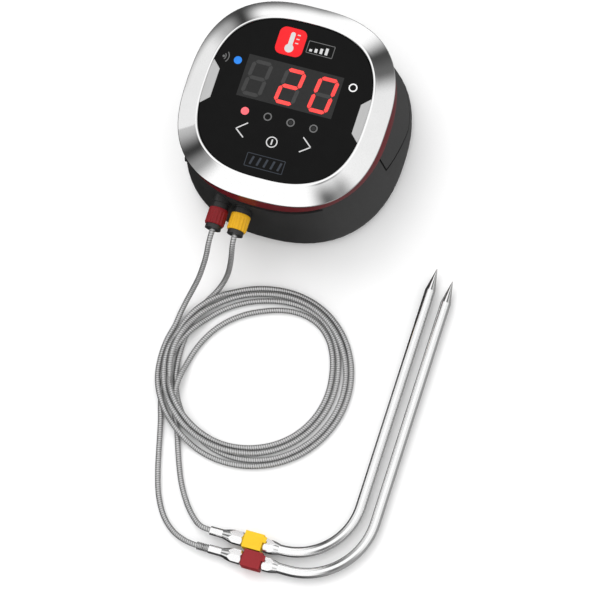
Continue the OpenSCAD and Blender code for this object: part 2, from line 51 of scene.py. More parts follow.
CAMERA_BACK = (0.212, -0.2475, 0.945)      # from the object to the camera
CAMERA_UP = (-0.2537, 0.9222, 0.2919)
CAMERA_AIM = (16.25, -51.7, 0)
CAMERA_DISTANCE = 1.6                      # metres
CAMERA_CLIP = (0.05, 20)                   # metres
LENS, SENSOR = 302, 36


def place_camera():
    back = Vector(CAMERA_BACK).normalized()
    right = Vector(CAMERA_UP).cross(back).normalized()
    up = back.cross(right)
    target = Vector(CAMERA_AIM) * MM
    turn = Matrix((right, up, back)).transposed().to_4x4()
    data = bpy.data.cameras.new("camera")
    data.lens, data.sensor_width = LENS, SENSOR
    data.clip_start, data.clip_end = CAMERA_CLIP
    camera = bpy.data.objects.new("camera", data)
    camera.matrix_world = Matrix.Translation(target + back * CAMERA_DISTANCE) @ turn
    bpy.context.scene.collection.objects.link(camera)
    bpy.context.scene.camera = camera


# ---------------------------------------------------------------- materials

BROAD = 12                      # how much coarser the broad noise is than the fine one
FINE_DETAIL, BROAD_DETAIL = 4, 2
SHADE_SPAN = (0.35, 0.65)       # noise values that give the dark and the light shade
EDGE_SPAN = (0.54, 0.62)        # pointiness of an edge that starts to wear and of a worn one
WORN_GAIN, WORN_LIFT = 2.2, 0.03
BUMP_HEIGHT = 0.0001            # metres
COAT_ROUGHNESS = 0.08


def new_material(name):
    material = bpy.data.materials.new(name)
    material.use_nodes = True
    return material, material.node_tree, material.node_tree.nodes["Principled BSDF"]


def grey(value):
    return (value, value, value)


def object_place(tree, stretch=(1, 1, 1)):
    """The object's own coordinates, stretched along its axes."""
    place = tree.nodes.new("ShaderNodeTexCoord")
    mapping = tree.nodes.new("ShaderNodeMapping")
    mapping.inputs["Scale"].default_value = stretch
    tree.links.new(place.outputs["Object"], mapping.inputs["Vector"])
    return mapping.outputs["Vector"]


def noise_at(tree, place, scale, detail):
    noise = tree.nodes.new("ShaderNodeTexNoise")
    noise.inputs["Scale"].default_value = scale
    noise.inputs["Detail"].default_value = detail
    tree.links.new(place, noise.inputs["Vector"])
    return noise.outputs["Fac"]


def average(tree, first, second):
    total = tree.nodes.new("ShaderNodeMath")
    total.operation = "ADD"
    tree.links.new(first, total.inputs[0])
    tree.links.new(second, total.inputs[1])
    half = tree.nodes.new("ShaderNodeMath")
    half.operation = "MULTIPLY"
    half.inputs[1].default_value = 0.5
    tree.links.new(total.outputs[0], half.inputs[0])
    return half.outputs[0]


def mapped(tree, value, low, high, start=0.0, end=1.0, kind="LINEAR"):
    """Runs from low to high while the value runs from start to end."""
    span = tree.nodes.new("ShaderNodeMapRange")
    span.interpolation_type = kind
    span.inputs["From Min"].default_value = start
    span.inputs["From Max"].default_value = end
    span.inputs["To Min"].default_value = low
    span.inputs["To Max"].default_value = high
    tree.links.new(value, span.inputs["Value"])
    return span.outputs["Result"]


def mixed(tree, share, first, second, kind="MIX"):
    """The first colour, with a share of the second; each value is a socket or a constant."""
    mix = tree.nodes.new("ShaderNodeMix")
    mix.data_type = "RGBA"
    mix.blend_type = kind
    for name, value in (("Factor", share), ("A", first), ("B", second)):
        if isinstance(value, bpy.types.NodeSocket):
            tree.links.new(value, mix.inputs[name])
        else:
            mix.inputs[name].default_value = value
    return mix.outputs["Result"]


def shaded(tree, value, dark, light, start, end):
    """Runs from the dark to the light colour while the value runs from start to end."""
    ramp = tree.nodes.new("ShaderNodeValToRGB")
    ends = ramp.color_ramp.elements
    ends[0].position, ends[1].position = start, end
    ends[0].color, ends[1].color = (*dark, 1), (*light, 1)
    tree.links.new(value, ramp.inputs["Fac"])
    return ramp.outputs["Color"]


def worn_edges(tree, colour, light, wear):
    """Lightens the sharp outer edges."""
    geometry = tree.nodes.new("ShaderNodeNewGeometry")
    share = mapped(tree, geometry.outputs["Pointiness"], 0, wear, *EDGE_SPAN)
    pale = [min(1, WORN_GAIN * part + WORN_LIFT) for part in light]
    return mixed(tree, share, colour, (*pale, 1))


def emboss(tree, bsdf, height, strength, distance):
    relief = tree.nodes.new("ShaderNodeBump")
    relief.inputs["Strength"].default_value = strength
    relief.inputs["Distance"].default_value = distance
    tree.links.new(height, relief.inputs["Height"])
    tree.links.new(relief.outputs["Normal"], bsdf.inputs["Normal"])


def finish(name, dark, light, rough=(0.3, 0.4), metal=0.0, spec=0.5, grain=900, bump=0.06,
           stretch=(1, 1, 1), coat=0.0, emit=0.0, wear=0.0):
    """Two close shades mixed by fine noise over broad noise, with a noisy roughness and bump."""
    material, tree, bsdf = new_material(name)
    bsdf.inputs["Metallic"].default_value = metal
    bsdf.inputs["Specular IOR Level"].default_value = spec
    bsdf.inputs["Coat Weight"].default_value = coat
    bsdf.inputs["Coat Roughness"].default_value = COAT_ROUGHNESS
    place = object_place(tree, stretch)
    fine = noise_at(tree, place, grain, FINE_DETAIL)
    broad = noise_at(tree, place, grain / BROAD, BROAD_DETAIL)
    blend = average(tree, fine, broad)
    colour = shaded(tree, blend, dark, light, *SHADE_SPAN)
    if wear:
        colour = worn_edges(tree, colour, light, wear)
    tree.links.new(colour, bsdf.inputs["Base Color"])
    if emit:
        tree.links.new(colour, bsdf.inputs["Emission Color"])
        bsdf.inputs["Emission Strength"].default_value = emit
    tree.links.new(mapped(tree, blend, *rough), bsdf.inputs["Roughness"])
    if bump:
        emboss(tree, bsdf, fine, bump, BUMP_HEIGHT)
    return material


def braid_with_painted_shade():
    """Fine steel wires wrapped round the lead, with painted shade darkening the steel between the
    ribs and the light grey steel on their crowns.
    """
    material, tree, bsdf = new_material("steel_braid")
    bsdf.inputs["Metallic"].default_value = 0.85
    rib = tree.nodes.new("ShaderNodeAttribute")
    rib.attribute_name = "rib"
    noise = noise_at(tree, object_place(tree), 2600, 3)
    # painted shade: the colour runs from dark in the grooves between the ribs, where shade falls,
    # to light steel on the crowns
    colour = shaded(tree, rib.outputs["Fac"], grey(0.10), grey(0.76), 0.15, 0.75)
    tree.links.new(mixed(tree, 0.35, colour, noise, "MULTIPLY"), bsdf.inputs["Base Color"])
    tree.links.new(mapped(tree, noise, 0.32, 0.5), bsdf.inputs["Roughness"])
    emboss(tree, bsdf, noise, 0.25, 0.00006)
    return material


MATS = {
    "rubber": finish("rubber_pad", grey(0.012), grey(0.02), (0.6, 0.75), grain=700, bump=0.2),
    "black_shell": finish("satin_housing", grey(0.016), grey(0.021), (0.42, 0.5), spec=0.5,
                          grain=2600, bump=0.10),
    "inner_plastic": finish("inner_plastic", grey(0.02), grey(0.03), (0.5, 0.6)),
    "screw_steel": finish("screw_steel", grey(0.45), grey(0.6), (0.25, 0.4), 1.0, grain=1500),
    "magnet": finish("nickel_magnet", grey(0.5), grey(0.62), (0.2, 0.35), 1.0, grain=600),
    "circuit_board": finish("circuit_board", (0.006, 0.07, 0.02), (0.012, 0.11, 0.035),
                            (0.3, 0.45), grain=500, bump=0.1),
    "shield": finish("shield_can", grey(0.5), grey(0.6), (0.3, 0.4), 1.0, grain=800),
    "flex": finish("flex_cable", (0.3, 0.12, 0.02), (0.38, 0.17, 0.03), (0.35, 0.5), grain=900),
    "cell": finish("battery_cell", (0.02, 0.025, 0.03), (0.03, 0.035, 0.04), (0.25, 0.35),
                   coat=0.3, grain=700),
    "accent_red": finish("accent_red", (0.09, 0.003, 0.006), (0.13, 0.005, 0.009), (0.34, 0.44),
                         spec=0.22, grain=1500, bump=0.05),
    "chrome_bezel": finish("bright_chrome", grey(0.86), grey(0.9), (0.05, 0.075), 1.0,
                           grain=1800, bump=0.012),
    "display_black": finish("display_black", grey(0.03), grey(0.036), (0.4, 0.5), grain=900),
    "led": finish("led_chip", (0.55, 0.1, 0.1), (0.7, 0.16, 0.14), (0.3, 0.4), grain=900),
    "diffuser": finish("diffuser", grey(0.6), grey(0.7), (0.5, 0.6), grain=700),
    "black_glass": finish("black_glass", grey(0.0035), grey(0.0045), (0.08, 0.12), spec=0.07,
                          grain=300, bump=0.0),
    "plug_steel": finish("plug_steel", grey(0.6), grey(0.72), (0.15, 0.25), 1.0, grain=1500),
    "plug_black": finish("plug_black", grey(0.014), grey(0.02), (0.35, 0.45), grain=1800,
                         bump=0.08),
    "probe_steel": finish("probe_steel", grey(0.84), grey(0.88), (0.13, 0.18), 1.0, grain=1200,
                          bump=0),
    "sensor_bead": finish("sensor_bead", grey(0.02), grey(0.03), (0.5, 0.6)),
    "red_plastic": finish("red_plastic", (0.17, 0.006, 0.009), (0.22, 0.009, 0.013),
                          (0.38, 0.48), spec=0.25, grain=1600, bump=0.08, wear=0.2),
    "yellow_plastic": finish("yellow_plastic", (0.68, 0.36, 0.007), (0.75, 0.41, 0.011),
                             (0.38, 0.48), spec=0.25, grain=1600, bump=0.08, wear=0.2),
    "tab": finish("satin_chrome", grey(0.5), grey(0.56), (0.32, 0.4), 1.0, grain=1500,
                  bump=0.03, stretch=(1, 0.1, 1)),
    "braid": braid_with_painted_shade(),
}
INK = {
    "window": finish("window_tint", grey(0.021), grey(0.025), (0.3, 0.4), spec=0.08, bump=0),
    "unlit": finish("segment_unlit", grey(0.042), grey(0.05), (0.3, 0.4), spec=0.08, bump=0),
    "lit": finish("segment_lit", (0.72, 0.045, 0.045), (0.86, 0.07, 0.062), (0.3, 0.4),
                  spec=0.1, bump=0, emit=0.36, grain=1200),
    "pink": finish("status_pink", (0.74, 0.10, 0.13), (0.84, 0.15, 0.17), (0.3, 0.4), spec=0.1,
                   bump=0, emit=0.06),
    "blue": finish("status_blue", (0.02, 0.17, 0.60), (0.03, 0.21, 0.68), (0.3, 0.4), spec=0.1,
                   bump=0, emit=0.08),
    "white": finish("print_white", grey(0.72), grey(0.82), (0.4, 0.5), spec=0.1, bump=0),
    "pale": finish("print_pale", grey(0.5), grey(0.58), (0.4, 0.5), spec=0.1, bump=0),
    "mid": finish("print_mid", grey(0.11), grey(0.14), (0.4, 0.5), spec=0.1, bump=0),
    "dim": finish("print_dim", (0.03, 0.035, 0.045), (0.045, 0.05, 0.06), (0.4, 0.5),
                  spec=0.1, bump=0),
    "badge": finish("print_red", (0.70, 0.014, 0.02), (0.78, 0.02, 0.026), (0.35, 0.45),
                    spec=0.1, bump=0),
}


# ---------------------------------------------------------------- mesh helpers

BEVEL_ANGLE = 35                # degrees; sharper edges are rounded


def add_piece(name, verts, faces, mat, body, smooth=True, replaces=(), bevel=0.0):
    """A visible piece that rides on the body."""
    mesh = bpy.data.meshes.new(name)
    mesh.from_pydata((np.asarray(verts, float) * MM).tolist(), [], faces)
    mesh.update()
    if smooth:
        mesh.shade_smooth()
    obj = bpy.data.objects.new(name, mesh)
    bpy.context.scene.collection.objects.link(obj)
    mesh.materials.append(mat)
    if bevel:
        rounding = obj.modifiers.new("edges", "BEVEL")
        rounding.width, rounding.segments = bevel * MM, 3
        rounding.limit_method, rounding.angle_limit = "ANGLE", math.radians(BEVEL_ANGLE)
        rounding.harden_normals = True
    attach(obj, body)
    if replaces:
        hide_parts(*replaces)
    return obj


def grid_faces(rows, columns, closed_rows=False):
    """Faces between closed rows; with closed_rows the last row joins the first."""
    faces = []
    for i in range(rows if closed_rows else rows - 1):
        row, following = i * columns, (i + 1) % rows * columns
        for k in range(columns):
            j = (k + 1) % columns
            faces.append((row + k, row + j, following + j, following + k))
    return faces


def capped_faces(rows, columns):
    """Faces between closed rows, with a cap on each end."""
    faces = grid_faces(rows, columns)
    faces.append(tuple(reversed(range(columns))))
    faces.append(tuple((rows - 1) * columns + k for k in range(columns)))
    return faces


def loft(rows, closed=False):
    """Vertices and faces of a stack of closed rows; the ends are capped when it isn't closed."""
    size = len(rows), len(rows[0])
    faces = grid_faces(*size, closed_rows=True) if closed else capped_faces(*size)
    return np.concatenate([np.asarray(row, float) for row in rows]), faces


def outline(half, squareness, z):
    """Rounded square of that half width: a circle when the squareness is 2."""
    angle = np.linspace(0, FULL, AROUND, endpoint=False)
    cosine, sine = np.cos(angle), np.sin(angle)
    reach = np.abs(cosine) ** squareness + np.abs(sine) ** squareness
    radius = half / reach ** (1 / squareness)
    return np.stack([radius * cosine, radius * sine, np.full(AROUND, z)], 1)


def rounded(profile, radius, steps=4, closed=True):
    """Fillets the corners of a profile of points; the values after the first two follow."""
    corners = [np.asarray(corner, float) for corner in profile]
    points = []
    for i, corner in enumerate(corners):
        if not closed and i in (0, len(corners) - 1):
            points.append(corner)
            continue
        before, after = corners[i - 1] - corner, corners[(i + 1) % len(corners)] - corner
        back, ahead = np.linalg.norm(before[:2]), np.linalg.norm(after[:2])
        cut = min(radius, 0.45 * back, 0.45 * ahead)
        start, end = corner + before * cut / back, corner + after * cut / ahead
        for k in range(steps + 1):
            t = k / steps
            points.append((1 - t) ** 2 * start + 2 * t * (1 - t) * corner + t * t * end)
    return points


# ---------------------------------------------------------------- where the plugs and probes are

PORT_X = {"red": -12.8, "yellow": -5.4}
PORT_Z = 22
FERRULE_AT = {"red": (14, -137.8), "yellow": (12.6, -132)}
PROBE_Z = 2.6
FERRULE_LEN = 4.2
HANDLE_LEN = 18.6


# ---------------------------------------------------------------- leads

COIL_AT = np.array([10, -80.5, 0])
COIL_STEP = 4.0                 # degrees between the points of the turns
RED_TURNS = (168, 924)          # degrees between which each lead is wound
YELLOW_TURNS = (140, 942)
LEAD_R, LEAD_SIDES = 0.9, 16
RIB_PITCH, RIB_DEPTH = 0.72, 0.13
COARSE = 0.6                    # between the points of a lead's route
FINE, QUICK = 0.155, 0.4        # between the points of its skin
CROSSING_GAP = 0.02             # left between two strands that cross
CROSSING_REACH = 2.4            # over which a strand's height is evened out
CROSSING_EVERY = 3              # points of a route from one that is tried to the next
RANK_APART = 150                # a strand is lifted over those that rank this far below it,
TURN_APART = 100                # and over its own lead only this many degrees away
UNDER_TO = 300                  # up to here, in degrees, the yellow lead lies under everything
BOTTOM = 3000                   # the rank it has there
# routes from each plug to the coil, and from the coil to each probe
RED_IN = [
    [-12.8, -42, 22], [-12.8, -44, 22], [-12.9, -47, 20.8], [-13.1, -50, 18],
    [-13.8, -53, 14.5], [-14.9, -56, 10.6], [-16.3, -59, 7.2], [-17.8, -62.5, 4.2],
    [-19, -66.5, 2], [-19.6, -70.5, 1.1],
]
YELLOW_IN = [
    [-5.4, -42, 22], [-5.4, -44, 21.8], [-5.4, -46.2, 20], [-5.5, -48.1, 16.9],
    [-6, -49.7, 12.8], [-6.8, -51.3, 8.4], [-8, -53.1, 4.6], [-9.3, -55.1, 2.2],
    [-10.5, -57.2, 1.2], [-11.8, -59.3, 0.9],
]
RED_OUT = [
    [-16.2, -96.2, 1], [-14.6, -101, 0.95], [-13.2, -106, 0.9], [-11.8, -111.4, 0.9],
    [-10, -117.8, 0.9], [-7.4, -125, 0.9], [-3.8, -131, 1], [0.6, -135, 1.5],
    [5, -137, 2.1], [9.5, -137.8, 2.6], [14.6, -137.8, 2.6],
]
YELLOW_OUT = [
    [-9, -101.8, 1], [-7.6, -105.2, 0.95], [-4.8, -112.4, 0.9], [-1.6, -119.4, 0.9],
    [2, -125, 1.1], [5.6, -129, 1.8], [9, -131.4, 2.5], [13.2, -132, 2.6],
]
# degrees round the coil, counter-clockwise from +X, and distance from its middle
RED_WIND = [
    (162, 31.2), (195, 30.6), (240, 29.1), (285, 29.0), (330, 30.2), (375, 31.2), (416, 31.2),
    (465, 29.6), (510, 29.3), (555, 28.6), (600, 26.3), (645, 24.9), (690, 25.5), (735, 26.8),
    (776, 28.6), (825, 25.4), (870, 25.2), (900, 27.4), (931, 30.5),
]
YELLOW_WIND = [
    (136, 30.4), (165, 26.2), (195, 24.9), (240, 25.6), (285, 27.0), (330, 28.3), (375, 29.4),
    (416, 29.4), (465, 27.8), (510, 27.4), (555, 26.7), (600, 24.4), (645, 23.0), (690, 23.6),
    (735, 24.9), (776, 26.7), (825, 21.8), (870, 20.7), (905, 22.2), (930, 25.6), (948, 28.5),
]


def ease(value, start, end):
    """Rises smoothly from 0 to 1 while the value runs from start to end."""
    share = min(1.0, max(0.0, (value - start) / (end - start)))
    return share * share * (3 - 2 * share)


def wound(knots, degrees):
    """Smooth radius through the knots."""
    k = min(len(knots) - 2, sum(knot[0] <= degrees for knot in knots) - 1)
    (here, radius), (there, next_radius) = knots[k], knots[k + 1]
    before, after = knots[max(0, k - 1)], knots[min(len(knots) - 1, k + 2)]
    span = there - here
    slope = (next_radius - before[1]) / (there - before[0])
    next_slope = (after[1] - radius) / (after[0] - here)
    t = (degrees - here) / span
    return ((2 * t ** 3 - 3 * t ** 2 + 1) * radius + (t ** 3 - 2 * t ** 2 + t) * span * slope
            + (3 * t ** 2 - 2 * t ** 3) * next_radius + (t ** 3 - t ** 2) * span * next_slope)


def coil_turns(knots, start, end):
    """The wound part on the floor; crossings are lifted later."""
    points = []
    count = int(round((end - start) / COIL_STEP))
    for i in range(count + 1):
        degrees = start + (end - start) * i / count
        a, r = math.radians(degrees), wound(knots, degrees)
        points.append([COIL_AT[0] + r * math.cos(a), COIL_AT[1] + r * math.sin(a), LEAD_R])
    return points


def smooth_line(points, spacing):
    """Even points along a Catmull-Rom curve."""
    p = np.asarray(points, float)
    p = np.concatenate([[2 * p[0] - p[1]], p, [2 * p[-1] - p[-2]]])
    pieces = []
    u = np.linspace(0, 1, 16, endpoint=False)[:, None]
    for i in range(1, len(p) - 2):
        a, b, c, d = p[i - 1], p[i], p[i + 1], p[i + 2]
        pieces.append(0.5 * (2 * b + (c - a) * u + (2 * a - 5 * b + 4 * c - d) * u ** 2
                             + (3 * b - a - 3 * c + d) * u ** 3))
    return evenly(np.concatenate(pieces + [p[-2:-1]]), spacing)


def distances(line):
    """How far along the line each point is."""
    steps = np.linalg.norm(np.diff(line, axis=0), axis=1)
    return np.concatenate([[0], np.cumsum(steps)])


def evenly(line, spacing):
    run = distances(line)
    count = max(2, int(round(run[-1] / spacing)) + 1)
    at = np.linspace(0, run[-1], count)
    return np.stack([np.interp(at, run, line[:, k]) for k in range(3)], 1)


def soften(values, width):
    kernel = np.hanning(2 * width + 3)[1:-1]
    kernel /= kernel.sum()
    padded = np.pad(values, width, mode="edge")
    return np.convolve(padded, kernel, "valid")


def turned(line):
    """Degrees round the coil's middle at each point, counted on through the turns."""
    a = np.unwrap(np.arctan2(line[:, 1] - COIL_AT[1], line[:, 0] - COIL_AT[0]))
    return np.degrees(a)


def raise_hump(line, top, height, half):
    """Raises the line to the height at its point top, easing down over half points each way."""
    crest = 2
    for j in range(max(0, top - half), min(len(line), top + half + 1)):
        share = max(0.0, (abs(j - top) - crest) / (half - crest))
        hump = LEAD_R + (height - LEAD_R) * (1 - ease(share, 0, 1))
        line[j, 2] = max(line[j, 2], hump)


def lay_over(lines, spacing):
    """Lifts the strands where they cross. The coil lies with its probe ends at the bottom and
    its plug ends on top, apart from the yellow lead's first bend, which is under everything."""
    gap = 2 * LEAD_R + CROSSING_GAP
    reach = int(round(CROSSING_REACH / spacing))
    turns = [turned(line) for line in lines]
    ranks = [-turns[0], np.where(turns[1] < UNDER_TO, -BOTTOM, -turns[1])]
    order = np.concatenate(ranks)
    which = np.concatenate([np.full(len(line), i) for i, line in enumerate(lines)])
    at = np.concatenate([np.arange(len(line)) for line in lines])
    for n in np.argsort(order, kind="stable"):
        own, k = which[n], at[n]
        if k % CROSSING_EVERY:
            continue
        line, here = lines[own], turns[own][k]
        below = [(rank < order[n] - RANK_APART) & ((np.abs(turn - here) > TURN_APART) | (i != own))
                 for i, (rank, turn) in enumerate(zip(ranks, turns))]
        laid = np.concatenate([other[mask] for other, mask in zip(lines, below)])
        flat = np.hypot(laid[:, 0] - line[k, 0], laid[:, 1] - line[k, 1])
        near = flat < gap
        if near.any():
            height = (laid[near, 2] + np.sqrt(gap ** 2 - flat[near] ** 2)).max()
            raise_hump(line, k, height, 3 * reach)
    for line in lines:
        line[:, 2] = soften(line[:, 2], reach)
    return lines


def across(line):
    """Unit vectors to the side of the line and above it at each point."""
    along = np.gradient(line, axis=0)
    along /= np.linalg.norm(along, axis=1)[:, None]
    side = np.cross(along, [0, 0, 1])
    side /= np.linalg.norm(side, axis=1)[:, None]
    return side, np.cross(side, along)


def tube_mesh(line):
    """Lead whose skin is one helical rib; returns vertices, faces and the rib's height, 0 to 1."""
    side, up = across(line)
    a = np.linspace(0, FULL, LEAD_SIDES, endpoint=False)
    phase = math.pi * distances(line)[:, None] / RIB_PITCH + a[None, :] / 2
    rib = np.abs(np.sin(phase)) ** 0.8
    r = (LEAD_R - RIB_DEPTH * (1 - rib))[:, :, None]
    verts = (line[:, None, :] + r * (np.cos(a)[None, :, None] * side[:, None, :]
                                     + np.sin(a)[None, :, None] * up[:, None, :]))
    return verts.reshape(-1, 3), capped_faces(len(line), LEAD_SIDES), rib.reshape(-1)


def build_lead(tint, line, nodes):
    """A braided lead on the leads body, in place of the CAD nodes it stands for."""
    fine = smooth_line(line, FINE)
    verts, faces, rib = tube_mesh(fine)
    lead = add_piece("lead_" + tint, verts, faces, MATS["braid"], "leads",
                     replaces=nodes)
    # the rib's height, which the braid's material turns into painted shade between the ribs
    shade = lead.data.attributes.new("rib", "FLOAT", "POINT")
    shade.data.foreach_set("value", rib.astype(np.float32))


def build_leads():
    red_line, yellow_line = lay_over([
        smooth_line(RED_IN + coil_turns(RED_WIND, *RED_TURNS) + RED_OUT, COARSE),
        smooth_line(YELLOW_IN + coil_turns(YELLOW_WIND, *YELLOW_TURNS) + YELLOW_OUT, COARSE),
    ], COARSE)
    red_end = [build_handle("red"), build_spring()]
    yellow_end = [build_handle("yellow")]
    build_lead("red", red_line, ("lead_red_in", "lead_red_out", "cord_coil"))
    build_lead("yellow", yellow_line, ("lead_yellow_in", "lead_yellow_out"))


# ---------------------------------------------------------------- display head

PANEL_HALF, PANEL_UNDER, PANEL_Z, CHAMFER = 26.4, 34.9, 36.5, 0.1
BEZEL_N, PANEL_N, BODY_N = 2.63, 2.69, 2.35
BEZEL_PROFILE = [               # half width, height, squareness
    (33.1, 33.2, BEZEL_N), (33.2, 34.1, BEZEL_N), (27.9, 36.8, 2.64), (27.3, 37.1, 2.67),
    (26.7, 37.1, PANEL_N), (26.45, 36.5, PANEL_N), (26.45, 34.7, PANEL_N),
    (28.4, 34.2, BEZEL_N), (30.2, 34.2, BEZEL_N), (30.2, 33.2, BEZEL_N),
]
ACCENT_PROFILE = [
    (33.6, 28.75, BODY_N), (33.0, 33.15, BEZEL_N), (29.4, 33.15, BEZEL_N),
    (29.4, 29.4, BEZEL_N), (32.7, 29.4, BODY_N), (32.7, 28.75, BODY_N),
]
BEZEL_FILLET, ACCENT_FILLET, PANEL_FILLET = 0.28, 0.2, 0.05
TAB_PLAN = [(26.6, -8.0), (26.6, 8.0), (23.5, 4.95), (23.5, -4.95)]
TAB_Z, TAB_EDGE = (34.9, 36.62), 0.12


def build_ring(name, profile, fillet, slot, node):
    """A ring round the head, swept along rounded squares."""
    rows = [outline(half, squareness, z) for half, z, squareness in rounded(profile, fillet)]
    verts, faces = loft(rows, closed=True)
    add_piece(name, verts, faces, MATS[slot], "head", replaces=(node,))


def build_tabs():
    """The plain shapes where the bezel reaches in at the panel's left and right."""
    for side, name in ((1, "tab_right"), (-1, "tab_left")):
        plan = [(side * x, y) for x, y in TAB_PLAN][::side]
        verts, faces = loft([[(x, y, z) for x, y in plan] for z in TAB_Z])
        add_piece(name, verts, faces, MATS["tab"], "head", bevel=TAB_EDGE)


def build_panel():
    inner = PANEL_HALF - CHAMFER
    profile = [(inner, PANEL_UNDER), (PANEL_HALF, PANEL_UNDER + CHAMFER),
               (PANEL_HALF, PANEL_Z - CHAMFER), (inner, PANEL_Z)]
    profile = rounded(profile, PANEL_FILLET, closed=False)
    verts, faces = loft([outline(half, PANEL_N, z) for half, z in profile])
    add_piece("touch_glass", verts, faces, MATS["black_glass"], "head",
              smooth=False, replaces=("touch_panel",))


# ---------------------------------------------------------------- printed marks

MARK_T = 0.03                   # thickness of the print
WINDOW = (0, 5, 31.6, 14.2)     # middle, width and height
DIGIT_W, DIGIT_H, DIGIT_SLANT = 5.6, 11.0, 0.09
DIGIT_PITCH, DIGIT_Y = 11, 4.8
DIGITS = ("", "abged", "abcdef")
SEGMENT_W, SEGMENT_GAP = 1.25, 0.16
SEGMENT_ENDS = {                # column and row of a segment's two ends, from the lower left
    "a": ((0, 2), (1, 2)), "b": ((1, 2), (1, 1)), "c": ((1, 1), (1, 0)), "d": ((0, 0), (1, 0)),
    "e": ((0, 1), (0, 0)), "f": ((0, 2), (0, 1)), "g": ((0, 1), (1, 1)),
}
STATUS_PITCH, STATUS_Y = 7.6, -6.5
LINK_AT, WAVES_AT = (-18.8, 9.1), (-24.2, 9.3)
PROBE_RING_AT = (19.4, 9.7)
ARROW_TIP, ARROW_ENDS = (12.4, -12.7), ((9.2, -10.05), (9.3, -15.05))
POWER_AT, POWER_R, POWER_BAR = (0, -14.2), 1.85, 0.9
BADGE_AT, PLATE_AT, LOWER_PLATE_AT = (-4.3, 19.3), (5.6, 19.2), (0, -21.5)


def marks(name, ink, shapes, level=0):
    """Flat shapes printed on the panel. A shape is one loop of points, or two loops of equal
    length for a ring between them."""
    verts, faces = [], []
    low = PANEL_Z + level * MARK_T
    high = low + MARK_T
    for loops in shapes:
        outer, inner = loops[0], loops[-1]
        count = len(outer)
        if len(loops) == 2:
            rows = ((outer, low), (outer, high), (inner, high), (inner, low))
            own_faces = grid_faces(4, count, closed_rows=True)
        else:
            rows = ((outer, low), (outer, high))
            own_faces = capped_faces(2, count)
        faces += [tuple(len(verts) + k for k in face) for face in own_faces]
        verts += [(x, y, z) for loop, z in rows for x, y in loop]
    add_piece(name, verts, faces, INK[ink], "head", smooth=False)


def arc(x, y, r, start, end, steps):
    """Points from one angle to another, in degrees."""
    angles = [math.radians(start + (end - start) * k / steps) for k in range(steps + 1)]
    return [(x + r * math.cos(a), y + r * math.sin(a)) for a in angles]


def circle(x, y, r, steps=40):
    return arc(x, y, r, 0, 360, steps)[:-1]


def ring(x, y, r, line):
    return (circle(x, y, r), circle(x, y, r - line))


def bar(x0, y0, x1, y1, width):
    """A stroke between two points, with mitred ends like a display's segment."""
    dx, dy = x1 - x0, y1 - y0
    length = math.hypot(dx, dy)
    half = width / 2
    ux, uy = dx / length * half, dy / length * half
    return ([(x0, y0), (x0 + ux + uy, y0 + uy - ux), (x1 - ux + uy, y1 - uy - ux),
             (x1, y1), (x1 - ux - uy, y1 - uy + ux), (x0 + ux - uy, y0 + uy + ux)],)


def stroke(x0, y0, x1, y1, width):
    dx, dy = x1 - x0, y1 - y0
    length = math.hypot(dx, dy)
    nx, ny = -dy / length * width / 2, dx / length * width / 2
    return ([(x0 - nx, y0 - ny), (x1 - nx, y1 - ny), (x1 + nx, y1 + ny), (x0 + nx, y0 + ny)],)


def box_loop(x, y, w, h, r):
    """Rectangle with round corners."""
    points = []
    for sx, sy, start in ((1, -1, -90), (1, 1, 0), (-1, 1, 90), (-1, -1, 180)):
        corner = x + sx * (w / 2 - r), y + sy * (h / 2 - r)
        points += arc(*corner, r, start, start + 90, 5)
    return points


def frame_box(x, y, w, h, r, line):
    inner_r = max(0.05, r - line)
    return (box_loop(x, y, w, h, r), box_loop(x, y, w - 2 * line, h - 2 * line, inner_r))


def bulb_loop(x, y, r, half_stem, top):
    """Outline of a plain thermometer: a bulb with a round-ended stem."""
    gap = math.degrees(math.acos(half_stem / r))
    return arc(x, y, r, 180 - gap, 360 + gap, 30) + arc(x, top - half_stem, half_stem, 0, 180, 12)


def digit(x, y, keys):
    """Seven-segment figure; returns its lit and its unlit segments."""
    lit, unlit = [], []
    for key, ends in SEGMENT_ENDS.items():
        (x0, y0), (x1, y1) = [((column - 0.5) * DIGIT_W, (row - 1) * DIGIT_H / 2)
                              for column, row in ends]
        length = math.hypot(x1 - x0, y1 - y0)
        ux, uy = (x1 - x0) / length * SEGMENT_GAP, (y1 - y0) / length * SEGMENT_GAP
        (loop,) = bar(x0 + ux, y0 + uy, x1 - ux, y1 - uy, SEGMENT_W)
        loop = [(x + a + DIGIT_SLANT * b, y + b) for a, b in loop]
        (lit if key in keys else unlit).append((loop,))
    return lit, unlit


def mark_display():
    marks("display_window", "window", [(box_loop(*WINDOW, 0.15),)])
    lit, unlit = [], []
    for place, keys in enumerate(DIGITS):
        on, off = digit(DIGIT_PITCH * (place - 1), DIGIT_Y, keys)
        lit += on
        unlit += off
    marks("segments_lit", "lit", lit, 1)
    marks("segments_unlit", "unlit", unlit, 1)


def mark_indicators():
    row = [(STATUS_PITCH * (k - 1.5), STATUS_Y) for k in range(4)]
    marks("status_on", "pink", [(circle(*row[0], 1.3),)])
    marks("status_link", "blue", [(circle(*LINK_AT, 1.3),)])
    marks("status_off", "mid", [ring(*place, 1.35, 0.4) for place in row[1:]])
    marks("status_off_middles", "window", [(circle(*place, 0.7),) for place in row[2:]])
    marks("probe_ring", "white", [ring(*PROBE_RING_AT, 1.4, 0.4)])


def mark_keys():
    """Two arrowheads that point outwards, with the power key between them."""
    strokes = [stroke(side * ARROW_TIP[0], ARROW_TIP[1], side * x, y, 0.38)
               for side in (-1, 1) for x, y in ARROW_ENDS]
    x, y = POWER_AT
    strokes += [ring(x, y, POWER_R, 0.36), stroke(x, y - POWER_BAR, x, y + POWER_BAR, 0.45)]
    marks("touch_keys", "pale", strokes)


